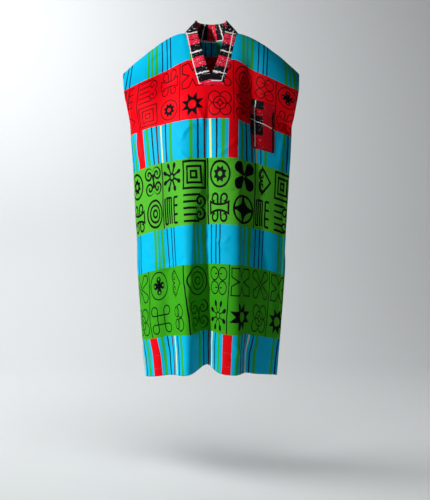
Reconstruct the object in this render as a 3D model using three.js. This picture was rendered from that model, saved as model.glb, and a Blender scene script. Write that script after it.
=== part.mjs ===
// Straight-cut kaftan of printed cotton, hollow, as it hangs from the shoulders.
// Six cloth pieces: front panel, back panel, three pieces of neck band, patch pocket.
// Millimetres, +Z up. The front faces -Y. The origin is midway between the two points
// where the shoulder seams meet the neckline.
import * as THREE from "three";

const wall = 1.5; // thickness of every cloth wall
const halfSeam = 0.15; // half of the 0.3 mm left between two pieces at a seam
const pocketGap = 1.1; // between the pocket and the panel it is stitched on

const neckHalf = 92; // panel neckline, half width at the shoulder seam
const neckFloorHalf = 40; // panel neckline, half width of its flat bottom
const neckDrop = 198; // panel neckline, depth below the shoulder line at the front
const backNeckDrop = 52; // panel neckline, depth at the back
const neckWarp = 318; // rows of the front panel are level from here down
const liftPower = 8; // folds raise the cloth mostly near the hem
const sideSquare = 2.3; // how squarely the front and back turn into the sides
const stays = Infinity; // end of a fold that runs out at the hem

// Rows of each panel, from the shoulder seam down. cut is the length of cloth from the
// shoulder seam. wide is the half width, zMid and zEdge the heights at the middle and at
// the side, level the share of the half width that stays level, curve the power of the
// drop beyond it, yMid and yEdge the distances in front of (or behind) the shoulder line,
// and round the power that turns the middle into the side.
const frontRows = [
  { cut: 0, wide: 296, zMid: 0, zEdge: -138, level: 0.31, curve: 1.5, yMid: 0, yEdge: 0, round: 1 },
  { cut: 30, wide: 295, zMid: -11, zEdge: -145, level: 0.31, curve: 1.4, yMid: 25, yEdge: 28, round: 1 },
  { cut: 105, wide: 287, zMid: -102, zEdge: -209, level: 0.28, curve: 1.05, yMid: 47, yEdge: 74, round: 1 },
  { cut: 210, wide: 276, zMid: -204, zEdge: -277, level: 0.1, curve: 1.3, yMid: 90, yEdge: 52, round: 0.75 },
  { cut: 285, wide: 271, zMid: -275, zEdge: -326, level: 0, curve: 1.6, yMid: 112, yEdge: 6, round: 0.55 },
  { cut: 318, wide: 270, zMid: -307, zEdge: -350, level: 0, curve: 1.8, yMid: 117, yEdge: 0, round: 0.5 },
  { cut: 445, wide: 264, zMid: -434, zEdge: -476, level: 0, curve: 2, yMid: 121, yEdge: 0, round: 0.5 },
  { cut: 658, wide: 253, zMid: -649, zEdge: -690, level: 0, curve: 2, yMid: 120, yEdge: 0, round: 0.5 },
  { cut: 785, wide: 248, zMid: -776, zEdge: -817, level: 0, curve: 2, yMid: 119, yEdge: 0, round: 0.5 },
  { cut: 998, wide: 233, zMid: -1002, zEdge: -1034, level: 0, curve: 2, yMid: 120, yEdge: 0, round: 0.5 },
  { cut: 1120, wide: 223, zMid: -1132, zEdge: -1155, level: 0, curve: 2, yMid: 122, yEdge: 0, round: 0.5 },
];
const backRows = [
  { cut: 0, wide: 296, zMid: 0, zEdge: -138, level: 0.31, curve: 1.5, yMid: 0, yEdge: 0, round: 1 },
  { cut: 30, wide: 295, zMid: -3, zEdge: -145, level: 0.31, curve: 1.4, yMid: 29, yEdge: 27, round: 1 },
  { cut: 105, wide: 287, zMid: -52, zEdge: -206, level: 0.24, curve: 1.15, yMid: 84, yEdge: 66, round: 1 },
  { cut: 210, wide: 276, zMid: -152, zEdge: -277, level: 0.1, curve: 1.4, yMid: 108, yEdge: 46, round: 0.75 },
  { cut: 285, wide: 271, zMid: -226, zEdge: -326, level: 0, curve: 1.7, yMid: 112, yEdge: 5, round: 0.55 },
  { cut: 318, wide: 270, zMid: -260, zEdge: -350, level: 0, curve: 1.9, yMid: 112, yEdge: 0, round: 0.5 },
  { cut: 445, wide: 264, zMid: -388, zEdge: -476, level: 0, curve: 2, yMid: 106, yEdge: 0, round: 0.5 },
  { cut: 658, wide: 253, zMid: -604, zEdge: -690, level: 0, curve: 2, yMid: 104, yEdge: 0, round: 0.5 },
  { cut: 785, wide: 248, zMid: -734, zEdge: -817, level: 0, curve: 2, yMid: 106, yEdge: 0, round: 0.5 },
  { cut: 998, wide: 233, zMid: -957, zEdge: -1032, level: 0, curve: 2, yMid: 110, yEdge: 0, round: 0.5 },
  { cut: 1120, wide: 223, zMid: -1086, zEdge: -1155, level: 0, curve: 2, yMid: 113, yEdge: 0, round: 0.5 },
];

// Folds. from and to are the lengths of cloth at which a fold starts and is fully formed,
// end is where it has died away. xFrom and xTo place it across the panel, left and right
// are its half widths on its two sides, depth is how far it goes in (out if negative),
// and lift is how much it raises the cloth there.
const frontFolds = [
  { from: 230, to: 1120, end: stays, xFrom: -12, xTo: -13, left: 25, right: 19, depth: 64, lift: 22 },
  { from: 330, to: 1050, end: stays, xFrom: -84, xTo: -78, left: 21, right: 20, depth: -24, lift: 0 },
  { from: 360, to: 1050, end: stays, xFrom: -140, xTo: -136, left: 22, right: 20, depth: 22, lift: 0 },
  { from: 380, to: 1000, end: stays, xFrom: 62, xTo: 66, left: 22, right: 22, depth: -16, lift: 0 },
  { from: 300, to: 1050, end: stays, xFrom: 114, xTo: 112, left: 15, right: 16, depth: 17, lift: 3 },
  { from: 420, to: 1000, end: stays, xFrom: 180, xTo: 174, left: 14, right: 14, depth: 10, lift: 0 },
  { from: 90, to: 300, end: stays, xFrom: 170, xTo: 162, left: 48, right: 42, depth: 30, lift: 0 },
  { from: 20, to: 150, end: 520, xFrom: 140, xTo: 132, left: 22, right: 22, depth: 20, lift: 0 },
  { from: 30, to: 160, end: 520, xFrom: -168, xTo: -150, left: 24, right: 24, depth: 34, lift: 0 },
];
const backFolds = [
  { from: 200, to: 1050, end: stays, xFrom: 20, xTo: 34, left: 24, right: 28, depth: 52, lift: 10 },
  { from: 320, to: 1120, end: stays, xFrom: -88, xTo: -96, left: 20, right: 26, depth: 38, lift: 6 },
  { from: 360, to: 1000, end: stays, xFrom: 118, xTo: 126, left: 22, right: 20, depth: 26, lift: 4 },
  { from: 300, to: 900, end: stays, xFrom: -34, xTo: -36, left: 22, right: 22, depth: -12, lift: 0 },
  { from: 30, to: 200, end: 520, xFrom: -150, xTo: -140, left: 24, right: 24, depth: 14, lift: 0 },
];

// Inner edge of the neck band from the shoulder seam down to the point of the V, for the
// right side: share of the way down, and its place.
const bandInner = [
  { share: 0, x: 51, y: 0, z: 47 },
  { share: 0.24, x: 45, y: -22, z: -3 },
  { share: 0.5, x: 32, y: -42, z: -61 },
  { share: 0.74, x: 17.5, y: -58, z: -110 },
  { share: 1, x: 0, y: -73, z: -158 },
];
// Top edge of the back neck band, from the shoulder seam round to centre back.
const bandTop = [
  { share: 0, x: 51, y: 0, z: 47 },
  { share: 0.35, x: 45, y: 26, z: 48 },
  { share: 0.7, x: 26, y: 46, z: 49 },
  { share: 1, x: 0, y: 53, z: 49 },
];

const pocketPatch = { left: 151, right: 237, top: 210, bottom: 397, columns: 8, rows: 10 };

const sideColumns = 14; // columns of each panel between the neckline and the side
const slopeColumns = 8; // columns under each slanting part of the neckline
const floorColumns = 8; // columns under the flat part of the neckline
const frontRowCuts = [0, 10, 24, 42, 64, 90, 120, 152, 186, 220, 252, 285, 318, 360, 405,
  450, 500, 555, 610, 665, 720, 775, 830, 885, 935, 985, 1033, 1078, 1120];
const backRowCuts = [0, 10, 26, 48, 76, 105, 140, 175, 210, 248, 285, 318, 370, 425,
  480, 540, 600, 660, 720, 785, 850, 910, 970, 1024, 1075, 1120];
const bandColumns = 4; // quads across the neck band

// Smooth curve through a table: value of one named column at a place along another.
function through(rows, along, at, name) {
  let k = 0;
  while (k < rows.length - 2 && at > rows[k + 1][along]) k++;
  const a = rows[k];
  const b = rows[k + 1];
  const before = rows[Math.max(k - 1, 0)];
  const after = rows[Math.min(k + 2, rows.length - 1)];
  const span = b[along] - a[along];
  const f = Math.min(Math.max((at - a[along]) / span, 0), 1);
  const slopeA = k > 0 ? (b[name] - before[name]) / (b[along] - before[along]) : (b[name] - a[name]) / span;
  const slopeB = k < rows.length - 2
    ? (after[name] - a[name]) / (after[along] - a[along]) : (b[name] - a[name]) / span;
  const f2 = f * f;
  const f3 = f2 * f;
  return (2 * f3 - 3 * f2 + 1) * a[name] + (f3 - 2 * f2 + f) * span * slopeA
    + (3 * f2 - 2 * f3) * b[name] + (f3 - f2) * span * slopeB;
}

function ease(from, to, at) {
  const f = Math.min(Math.max((at - from) / (to - from), 0), 1);
  return f * f * (3 - 2 * f);
}

// How much the folds change the depth and the height at one place on a panel.
function foldAt(folds, cut, x) {
  const sum = { depth: 0, lift: 0 };
  for (const fold of folds) {
    const grown = Math.min(Math.max((cut - fold.from) / (fold.to - fold.from), 0), 1);
    const faded = fold.end === stays ? 1 : 1 - ease(fold.to, fold.end, cut);
    const centre = fold.xFrom + (fold.xTo - fold.xFrom) * grown;
    const off = (x - centre) / (x < centre ? fold.left : fold.right);
    const shape = Math.exp(-0.5 * off * off) * faded;
    sum.depth += fold.depth * shape * grown;
    sum.lift += fold.lift * shape * Math.pow(grown, liftPower);
  }
  return sum;
}

// One panel: the row of cloth at a cut length, as a path from side to side.
const pathSteps = 90; // steps from the centre line to each side
function makePanel(rows, folds, face) {
  const kept = new Map();
  function pathAt(cut) {
    if (kept.has(cut)) return kept.get(cut);
    const row = {};
    for (const name of Object.keys(rows[0])) row[name] = through(rows, "cut", cut, name);
    const points = [];
    for (let k = -pathSteps; k <= pathSteps; k++) {
      const share = Math.sin((k / pathSteps) * Math.PI / 2);
      const x = row.wide * share;
      const fold = foldAt(folds, cut, x);
      const bulge = Math.pow(Math.max(1 - Math.pow(Math.abs(share), sideSquare), 0), row.round);
      const free = Math.min(1, 2 * Math.sqrt(1 - Math.abs(share))); // folds fade out at the side
      const y = row.yEdge + (row.yMid - row.yEdge) * bulge - fold.depth * free;
      const out = Math.max(Math.abs(share) - row.level, 0) / (1 - row.level);
      const z = row.zMid + (row.zEdge - row.zMid) * Math.pow(out, row.curve) + fold.lift;
      points.push(new THREE.Vector3(x, face * Math.max(y, halfSeam), z));
    }
    const arc = [0];
    for (let k = 1; k < points.length; k++) arc.push(arc[k - 1] + points[k].distanceTo(points[k - 1]));
    const path = { points, arc: arc.map((length) => length - arc[pathSteps]) };
    kept.set(cut, path);
    return path;
  }
  function reach(cut, side) {
    const arc = pathAt(cut).arc;
    return side < 0 ? -arc[0] : arc[arc.length - 1];
  }
  // Point of the cloth at a distance across from the centre line and a cut length.
  function point(across, cut) {
    const path = pathAt(cut);
    let k = 0;
    while (k < path.arc.length - 2 && across > path.arc[k + 1]) k++;
    const f = (across - path.arc[k]) / (path.arc[k + 1] - path.arc[k]);
    return path.points[k].clone().lerp(path.points[k + 1], Math.min(Math.max(f, 0), 1));
  }
  return { point, reach };
}

// Outer and inner points of a wall on a grid. The grid runs down and then across; the
// inner points lie one wall in along its normals. turned is for a grid seen from inside.
function skinsOf(grid, turned, keep, outward = 0) {
  const rows = grid.length;
  const columns = grid[0].length;
  const skins = { outer: [], inner: [], normal: [], turned };
  for (let i = 0; i < rows; i++) {
    const lines = { outer: [], inner: [], normal: [] };
    for (let j = 0; j < columns; j++) {
      const down = grid[Math.min(i + 1, rows - 1)][j].clone().sub(grid[Math.max(i - 1, 0)][j]);
      const across = grid[i][Math.min(j + 1, columns - 1)].clone().sub(grid[i][Math.max(j - 1, 0)]);
      const normal = down.cross(across).normalize().multiplyScalar(turned ? -1 : 1);
      lines.normal.push(normal);
      lines.outer.push(keep(grid[i][j].clone().addScaledVector(normal, outward)));
      lines.inner.push(keep(grid[i][j].clone().addScaledVector(normal, outward - wall)));
    }
    for (const name of Object.keys(lines)) skins[name].push(lines[name]);
  }
  return skins;
}

// Closed mesh between the two skins of a wall.
function wallOf(skins) {
  const rows = skins.outer.length;
  const columns = skins.outer[0].length;
  const points = [...skins.outer.flat(), ...skins.inner.flat()];
  const count = rows * columns;
  const faces = [];
  const quad = (a, b, c, d) => faces.push(a, b, c, a, c, d);
  const at = (i, j) => i * columns + j;
  for (let i = 0; i < rows - 1; i++) {
    for (let j = 0; j < columns - 1; j++) {
      quad(at(i, j), at(i + 1, j), at(i + 1, j + 1), at(i, j + 1));
      quad(count + at(i, j), count + at(i, j + 1), count + at(i + 1, j + 1), count + at(i + 1, j));
    }
  }
  const rim = [];
  for (let i = 0; i < rows - 1; i++) rim.push([at(i, 0), at(i + 1, 0)]);
  for (let j = 0; j < columns - 1; j++) rim.push([at(rows - 1, j), at(rows - 1, j + 1)]);
  for (let i = rows - 1; i > 0; i--) rim.push([at(i, columns - 1), at(i - 1, columns - 1)]);
  for (let j = columns - 1; j > 0; j--) rim.push([at(0, j), at(0, j - 1)]);
  // Two pieces that meet at a seam split their facing edges along the same diagonals.
  for (const [a, b] of rim) {
    if (points[a].x > points[b].x) quad(a, count + a, count + b, b);
    else quad(b, a, count + a, count + b);
  }
  if (skins.turned) faces.reverse();
  const geometry = new THREE.BufferGeometry();
  geometry.setAttribute("position", new THREE.Float32BufferAttribute(points.flatMap((p) => p.toArray()), 3));
  geometry.setIndex(faces);
  geometry.computeVertexNormals();
  return geometry;
}

// Depth of the panel's neckline under the shoulder line at a distance from the centre.
function frontNeckline(across) {
  const share = (neckHalf - Math.abs(across)) / (neckHalf - neckFloorHalf);
  return neckDrop * Math.min(Math.max(share, 0), 1);
}

function backNeckline(across) {
  const share = Math.min(Math.abs(across) / neckHalf, 1);
  return backNeckDrop * Math.sqrt(1 - share * share);
}

// Distances from the centre line of the columns that end in the neckline.
function neckColumns() {
  const list = [];
  for (let k = 0; k <= floorColumns / 2; k++) list.push(neckFloorHalf * 2 * k / floorColumns);
  for (let k = 1; k <= slopeColumns; k++) {
    list.push(neckFloorHalf + (neckHalf - neckFloorHalf) * k / slopeColumns);
  }
  return [...list.slice(1).reverse().map((across) => -across), ...list];
}

function panelGrid(panel, rowCuts, neckline) {
  const grid = [];
  for (const level of rowCuts) {
    const cutAt = (across) => {
      const top = neckline(across);
      return level < neckWarp ? top + (neckWarp - top) * level / neckWarp : level;
    };
    const line = [];
    const left = panel.reach(level, -1);
    const right = panel.reach(level, 1);
    for (let k = sideColumns; k > 0; k--) {
      line.push(panel.point(-neckHalf - (left - neckHalf) * k / sideColumns, level));
    }
    for (const across of neckColumns()) line.push(panel.point(across, cutAt(across)));
    for (let k = 1; k <= sideColumns; k++) {
      line.push(panel.point(neckHalf + (right - neckHalf) * k / sideColumns, level));
    }
    grid.push(line);
  }
  return grid;
}

// Skins of a piece of neck band. Its first column is the panel's neckline, one seam away;
// its last column is the list of top points.
function bandSkins(panelSkins, first, tops, turned, keep) {
  const edge = [];
  for (let i = 0; i < tops.length; i++) {
    const j = first + i;
    const outer = panelSkins.outer[0];
    const along = outer[j + 1].clone().sub(outer[j - 1]);
    const away = outer[j].clone().sub(panelSkins.outer[1][j]);
    const aside = along.clone().cross(panelSkins.normal[0][j]).normalize().multiplyScalar(2 * halfSeam);
    if (aside.dot(away) < 0) aside.negate();
    edge.push({ outer: outer[j].clone().add(aside), inner: panelSkins.inner[0][j].clone().add(aside) });
  }
  const grid = tops.map((top, i) => {
    const line = [];
    for (let j = 0; j <= bandColumns; j++) line.push(edge[i].outer.clone().lerp(top, j / bandColumns));
    return line;
  });
  const skins = skinsOf(grid, turned, keep);
  edge.forEach((ends, i) => {
    skins.outer[i][0] = keep(ends.outer);
    skins.inner[i][0] = keep(ends.inner);
  });
  return skins;
}

const inFront = (point) => point.setY(Math.min(point.y, -halfSeam));
const behind = (point) => point.setY(Math.max(point.y, halfSeam));
const onLeft = (point) => inFront(point).setX(Math.min(point.x, -halfSeam));
const onRight = (point) => inFront(point).setX(Math.max(point.x, halfSeam));

const frontPanel = makePanel(frontRows, frontFolds, -1);
const backPanel = makePanel(backRows, backFolds, 1);
const frontSkins = skinsOf(panelGrid(frontPanel, frontRowCuts, frontNeckline), false, inFront);
const backSkins = skinsOf(panelGrid(backPanel, backRowCuts, backNeckline), true, behind);

// Top points of the front neck band, from one shoulder seam down to the point of the V.
function frontBandTops(side) {
  const half = neckColumns().filter((across) => across >= 0).reverse();
  const slope = Math.hypot(neckHalf - neckFloorHalf, neckDrop);
  return half.map((across) => {
    const gone = across > neckFloorHalf
      ? slope * (neckHalf - across) / (neckHalf - neckFloorHalf)
      : slope + neckFloorHalf - across;
    const share = gone / (slope + neckFloorHalf);
    const place = ["x", "y", "z"].map((name) => through(bandInner, "share", share, name));
    return new THREE.Vector3(side * place[0], place[1], place[2]);
  });
}

// Top points of the back neck band, from the left shoulder seam round to the right one.
function backBandTops() {
  return neckColumns().map((across) => {
    const share = 1 - Math.asin(Math.abs(across) / neckHalf) * 2 / Math.PI;
    const place = ["x", "y", "z"].map((name) => through(bandTop, "share", share, name));
    return new THREE.Vector3((Math.sign(across) || 1) * place[0], place[1], place[2]);
  });
}

function pocketGrid() {
  const grid = [];
  for (let i = 0; i <= pocketPatch.rows; i++) {
    const line = [];
    const cut = pocketPatch.top + (pocketPatch.bottom - pocketPatch.top) * i / pocketPatch.rows;
    for (let j = 0; j <= pocketPatch.columns; j++) {
      const across = pocketPatch.left + (pocketPatch.right - pocketPatch.left) * j / pocketPatch.columns;
      line.push(frontPanel.point(across, cut));
    }
    grid.push(line);
  }
  return grid;
}

const neckFirst = sideColumns;
const neckLast = sideColumns + 2 * slopeColumns + floorColumns;
const half = (neckLast - neckFirst) / 2;
const leftBand = bandSkins(frontSkins, neckFirst, frontBandTops(-1), false, onLeft);
const rightBand = bandSkins(frontSkins, neckFirst + half, frontBandTops(1).reverse(), false, onRight);
const backBand = bandSkins(backSkins, neckFirst, backBandTops(), true, behind);
const pocketSkins = skinsOf(pocketGrid(), false, (point) => point, pocketGap + wall);

const kaftan = new THREE.Group();
function piece(name, skins, colour, roughness) {
  const material = new THREE.MeshStandardMaterial({ color: colour, roughness, metalness: 0 });
  const mesh = new THREE.Mesh(wallOf(skins), material);
  mesh.name = name;
  kaftan.add(mesh);
}

piece("front", frontSkins, 0x12b7c8, 0.72);
piece("back", backSkins, 0x0fa9bb, 0.72);
piece("neck_band_left", leftBand, 0x241a1c, 0.68);
piece("neck_band_right", rightBand, 0x2a1a1d, 0.68);
piece("neck_band_back", backBand, 0x221619, 0.68);
piece("pocket", pocketSkins, 0xb01828, 0.7);

export default kaftan;
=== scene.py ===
import math
from types import SimpleNamespace

import bpy
import numpy as np
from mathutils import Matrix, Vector


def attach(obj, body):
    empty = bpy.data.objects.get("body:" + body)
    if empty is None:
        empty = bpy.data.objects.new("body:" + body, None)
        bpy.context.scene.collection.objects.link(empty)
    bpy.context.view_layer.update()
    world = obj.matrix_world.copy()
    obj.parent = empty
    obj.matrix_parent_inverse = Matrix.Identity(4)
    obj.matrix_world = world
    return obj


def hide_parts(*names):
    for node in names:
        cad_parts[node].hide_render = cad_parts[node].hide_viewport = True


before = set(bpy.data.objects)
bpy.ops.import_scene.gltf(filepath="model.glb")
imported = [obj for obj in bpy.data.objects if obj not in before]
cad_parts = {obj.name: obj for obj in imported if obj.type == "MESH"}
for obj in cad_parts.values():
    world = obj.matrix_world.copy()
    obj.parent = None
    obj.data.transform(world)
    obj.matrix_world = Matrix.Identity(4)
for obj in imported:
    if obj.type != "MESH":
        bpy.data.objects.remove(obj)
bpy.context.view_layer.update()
print("kaftan: frame loaded")

mm = 0.001

view = dict(place=(0.0125, -2.35, -0.742), lens=49.914, sensor=36, shiftY=0.006)

cameraData = bpy.data.cameras.new("camera")
cameraData.lens = view["lens"]
cameraData.sensor_width = view["sensor"]
cameraData.shift_y = view["shiftY"]
camera = bpy.data.objects.new("camera", cameraData)
camera.location = view["place"]
camera.rotation_euler = (math.pi / 2, 0, 0)
bpy.context.scene.collection.objects.link(camera)
bpy.context.scene.camera = camera

# Rows of cloth from the shoulder seam down, in mm: the length of cloth, the half width,
# heights at the middle and the side, the level share, the power of the drop beyond it,
# depth at the middle and the side, and how round the middle turns into the side.
rowNames = ("cut", "wide", "zMid", "zEdge", "level", "curve", "yMid", "yEdge", "round")
frontRows = [
    (0, 296, 0, -138, 0.31, 1.5, 0, 0, 1),
    (30, 295, -11, -145, 0.31, 1.4, 25, 28, 1),
    (105, 287, -102, -209, 0.28, 1.05, 47, 74, 1),
    (210, 276, -204, -277, 0.1, 1.3, 90, 52, 0.75),
    (285, 271, -275, -326, 0, 1.6, 112, 6, 0.55),
    (318, 270, -307, -350, 0, 1.8, 117, 0, 0.5),
    (445, 264, -434, -476, 0, 2, 121, 0, 0.5),
    (658, 253, -649, -690, 0, 2, 120, 0, 0.5),
    (785, 248, -776, -817, 0, 2, 119, 0, 0.5),
    (998, 233, -1002, -1034, 0, 2, 120, 0, 0.5),
    (1120, 223, -1132, -1155, 0, 2, 122, 0, 0.5),
]
backRows = [
    (0, 296, 0, -138, 0.31, 1.5, 0, 0, 1),
    (30, 295, -3, -145, 0.31, 1.4, 29, 27, 1),
    (105, 287, -52, -206, 0.24, 1.15, 84, 66, 1),
    (210, 276, -152, -277, 0.1, 1.4, 108, 46, 0.75),
    (285, 271, -226, -326, 0, 1.7, 112, 5, 0.55),
    (318, 270, -260, -350, 0, 1.9, 112, 0, 0.5),
    (445, 264, -388, -476, 0, 2, 106, 0, 0.5),
    (658, 253, -604, -690, 0, 2, 104, 0, 0.5),
    (785, 248, -734, -817, 0, 2, 106, 0, 0.5),
    (998, 233, -957, -1032, 0, 2, 110, 0, 0.5),
    (1120, 223, -1086, -1155, 0, 2, 113, 0, 0.5),
]
# Folds: where one starts, is full and ends, its line, its half widths, depth and lift.
stays = 1e9
foldNames = ("start", "full", "end", "xFrom", "xTo", "left", "right", "depth", "lift")
frontFolds = [
    (230, 1120, stays, -12, -13, 25, 19, 64, 22),
    (330, 1050, stays, -84, -78, 21, 20, -24, 0),
    (360, 1050, stays, -140, -136, 22, 20, 22, 0),
    (200, 760, stays, 82, 84, 30, 14, -22, 0),
    (300, 1050, stays, 114, 112, 15, 16, 17, 3),
    (420, 1000, stays, 180, 174, 14, 14, 3, 0),
    (60, 260, stays, 166, 160, 38, 150, 37, 0),
    (20, 150, 520, 140, 132, 22, 22, 20, 0),
    (30, 160, 520, -168, -150, 30, 30, 16, 0),
]
backFolds = [
    (200, 1050, stays, 20, 34, 24, 28, 52, 10),
    (320, 1120, stays, -88, -96, 20, 26, 38, 6),
    (360, 1000, stays, 118, 126, 22, 20, 26, 4),
    (300, 900, stays, -34, -36, 22, 22, -12, 0),
    (30, 200, 520, -150, -140, 24, 24, 14, 0),
]
# Creases, each along a line on the cloth (mm across, mm down): the half widths on the
# left and right of the line as it runs down, and the height, below 0 for a trough. The
# first ones are broad ridges, and the rest are fine creases.
frontCreases = [
    dict(
        left=38, right=8, high=9,
        line=[
            (-27, 430), (-39, 548), (-72, 648), (-88, 778),
            (-108, 892), (-98, 984), (-40, 1046),
        ],
    ),
    dict(
        left=40, right=9, high=6,
        line=[
            (150, 30), (106, 130), (90, 200), (88, 260), (100, 414),
            (98, 576), (103, 770), (114, 982), (122, 1110),
        ],
    ),
    dict(
        left=4.2, right=4.2, high=-6.2,
        line=[
            (-7, 205), (-10, 290), (-13, 356),
            (-14, 420), (-14, 548),
        ],
    ),
    dict(left=4.2, right=6.2, high=4.2, line=[(-99, 390), (-88, 358), (-69, 340), (-43, 346)]),
    dict(left=4.2, right=5.2, high=3.5, line=[(-110, 414), (-90, 440), (-64, 452)]),
    dict(left=5.2, right=4.2, high=4.8, line=[(-37, 436), (3, 452), (47, 456), (97, 434)]),
    dict(left=4.2, right=5.2, high=4.2, line=[(88, 374), (69, 402), (37, 428), (14, 444)]),
    dict(left=5.2, right=4.2, high=-4.2, line=[(-4, 542), (34, 556), (73, 554), (107, 532)]),
    dict(left=4.2, right=5.2, high=4.2, line=[(52, 530), (85, 520), (120, 496)]),
    dict(left=4.2, right=5.2, high=-3.1, line=[(-21, 580), (3, 568), (41, 562)]),
    dict(left=4.2, right=4.2, high=3.9, line=[(23, 702), (47, 728), (74, 746)]),
    dict(left=4.2, right=4.2, high=3.6, line=[(72, 694), (53, 722)]),
    dict(left=5.2, right=4.2, high=3.9, line=[(-235, 742), (-215, 772), (-183, 786), (-141, 772)]),
    dict(left=4.2, right=4.2, high=-3.5, line=[(-144, 790), (-115, 774), (-100, 756)]),
    dict(left=4.2, right=5.2, high=3.1, line=[(-266, 674), (-242, 720), (-221, 758)]),
    dict(left=4.2, right=5.2, high=3.6, line=[(-106, 800), (-92, 832), (-77, 864)]),
    dict(left=4.2, right=4.2, high=-3.1, line=[(-246, 830), (-224, 848), (-197, 846)]),
    dict(left=5.2, right=4.2, high=4.2, line=[(95, 1024), (121, 1050), (97, 1072)]),
    dict(left=4.2, right=4.2, high=3.1, line=[(62, 1052), (91, 1080)]),
    dict(left=5.2, right=5.2, high=-3.6, line=[(-221, 58), (-181, 58), (-135, 66)]),
    dict(left=6.2, right=5.2, high=4.2, line=[(62, 214), (104, 262), (140, 320)]),
    dict(left=5.2, right=5.2, high=3.1, line=[(-60, 240), (-34, 300), (-22, 356)]),
    dict(left=7.2, right=6.2, high=4.8, line=[(-290, 300), (-262, 360), (-250, 430)]),
    dict(left=6.2, right=7.2, high=4.8, line=[(292, 290), (268, 350), (256, 440)]),
]
backCreases = [
    dict(left=24, right=8, high=6, line=[(-36, 300), (-44, 520), (-40, 760), (-30, 1000)]),
    dict(left=9, right=28, high=5, line=[(120, 240), (96, 460), (104, 700), (118, 960)]),
    dict(left=3, right=3, high=-2.2, line=[(2, 70), (4, 240), (6, 460)]),
    dict(left=4, right=3, high=1.6, line=[(-120, 350), (-60, 372), (10, 360)]),
    dict(left=3, right=4, high=1.5, line=[(40, 520), (90, 540), (150, 520)]),
    dict(left=4, right=4, high=-1.4, line=[(-200, 600), (-160, 640), (-110, 650)]),
    dict(left=3, right=4, high=1.4, line=[(60, 800), (110, 824), (170, 810)]),
    dict(left=4, right=3, high=1.5, line=[(-150, 930), (-90, 960), (-40, 940)]),
    dict(left=6, right=5, high=1.8, line=[(-292, 300), (-266, 370), (-254, 450)]),
    dict(left=5, right=6, high=1.8, line=[(290, 300), (266, 360), (256, 440)]),
]

cloth = dict(
    wall=0.5,  # thickness of the cloth
    length=1120,  # from the shoulder seam to the hem's fold
    neckHalf=92,  # half the neck opening along the shoulder seam
    neckFloorHalf=40,  # half the short level part under the V
    neckDrop=198,
    backNeckDrop=52,
    neckWarp=318,  # rows of the mesh follow the neckline down to here
    liftPower=8,  # how late a fold lifts the hem
    sideSquare=2.3,  # how square the body is, seen from above
    foldReach=4,  # how close to the side seams folds keep their depth
    hem=70,  # turned up inside at the bottom
    hemIn=2.0,  # how far inside the panel the hem lies
    hemFoldIn=0.9,
    turning=13,  # turned in at the sleeve edges and side seams
    turningIn=1.5,
    turningFoldIn=0.8,
    uneven=[(90, 1.2), (34, 0.45)],  # size and height of the cloth's unevenness
)
pathSteps = 400  # places worked out along one row of cloth


def named(rows, names):
    return [dict(zip(names, row)) for row in rows]


def through(rows, at, name):
    # a smooth curve through one column of a table
    k = 0
    while k < len(rows) - 2 and at > rows[k + 1]["cut"]:
        k += 1
    a, b = rows[k], rows[k + 1]
    before, after = rows[max(k - 1, 0)], rows[min(k + 2, len(rows) - 1)]
    span = b["cut"] - a["cut"]
    f = min(max((at - a["cut"]) / span, 0), 1)
    chord = (b[name] - a[name]) / span
    slopeA = (b[name] - before[name]) / (b["cut"] - before["cut"]) if k > 0 else chord
    slopeB = (after[name] - a[name]) / (after["cut"] - a["cut"]) if k < len(rows) - 2 else chord
    return (
        (2 * f**3 - 3 * f**2 + 1) * a[name]
        + (f**3 - 2 * f**2 + f) * span * slopeA
        + (3 * f**2 - 2 * f**3) * b[name]
        + (f**3 - f**2) * span * slopeB
    )


def ease(start, end, at):
    f = np.clip((at - start) / (end - start), 0, 1)
    return f * f * (3 - 2 * f)


def creaseHeight(across, cut, line, left, right, high):
    # height of one crease; it dies away towards both ends of its line
    line = np.array(line, float)
    sizes = np.linalg.norm(np.diff(line, axis=0), axis=1)
    gone = np.concatenate([[0], np.cumsum(sizes)])
    nearest = np.full(np.shape(across), 1e9)
    side, travelled = np.zeros_like(nearest), np.zeros_like(nearest)
    for (x0, t0), (x1, t1), size, before in zip(line, line[1:], sizes, gone):
        dx, dt = (x1 - x0) / size, (t1 - t0) / size
        along = np.clip((across - x0) * dx + (cut - t0) * dt, 0, size)
        off = np.hypot(across - x0 - along * dx, cut - t0 - along * dt)
        closer = off < nearest
        nearest = np.where(closer, off, nearest)
        side = np.where(closer, (across - x0) * dt - (cut - t0) * dx, side)
        travelled = np.where(closer, before + along, travelled)
    fade = min(0.3 * gone[-1], 110)
    fade = ease(0, fade, travelled) * ease(0, fade, gone[-1] - travelled)
    return high * fade * np.exp(-0.5 * (nearest / np.where(side < 0, left, right)) ** 2)


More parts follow.
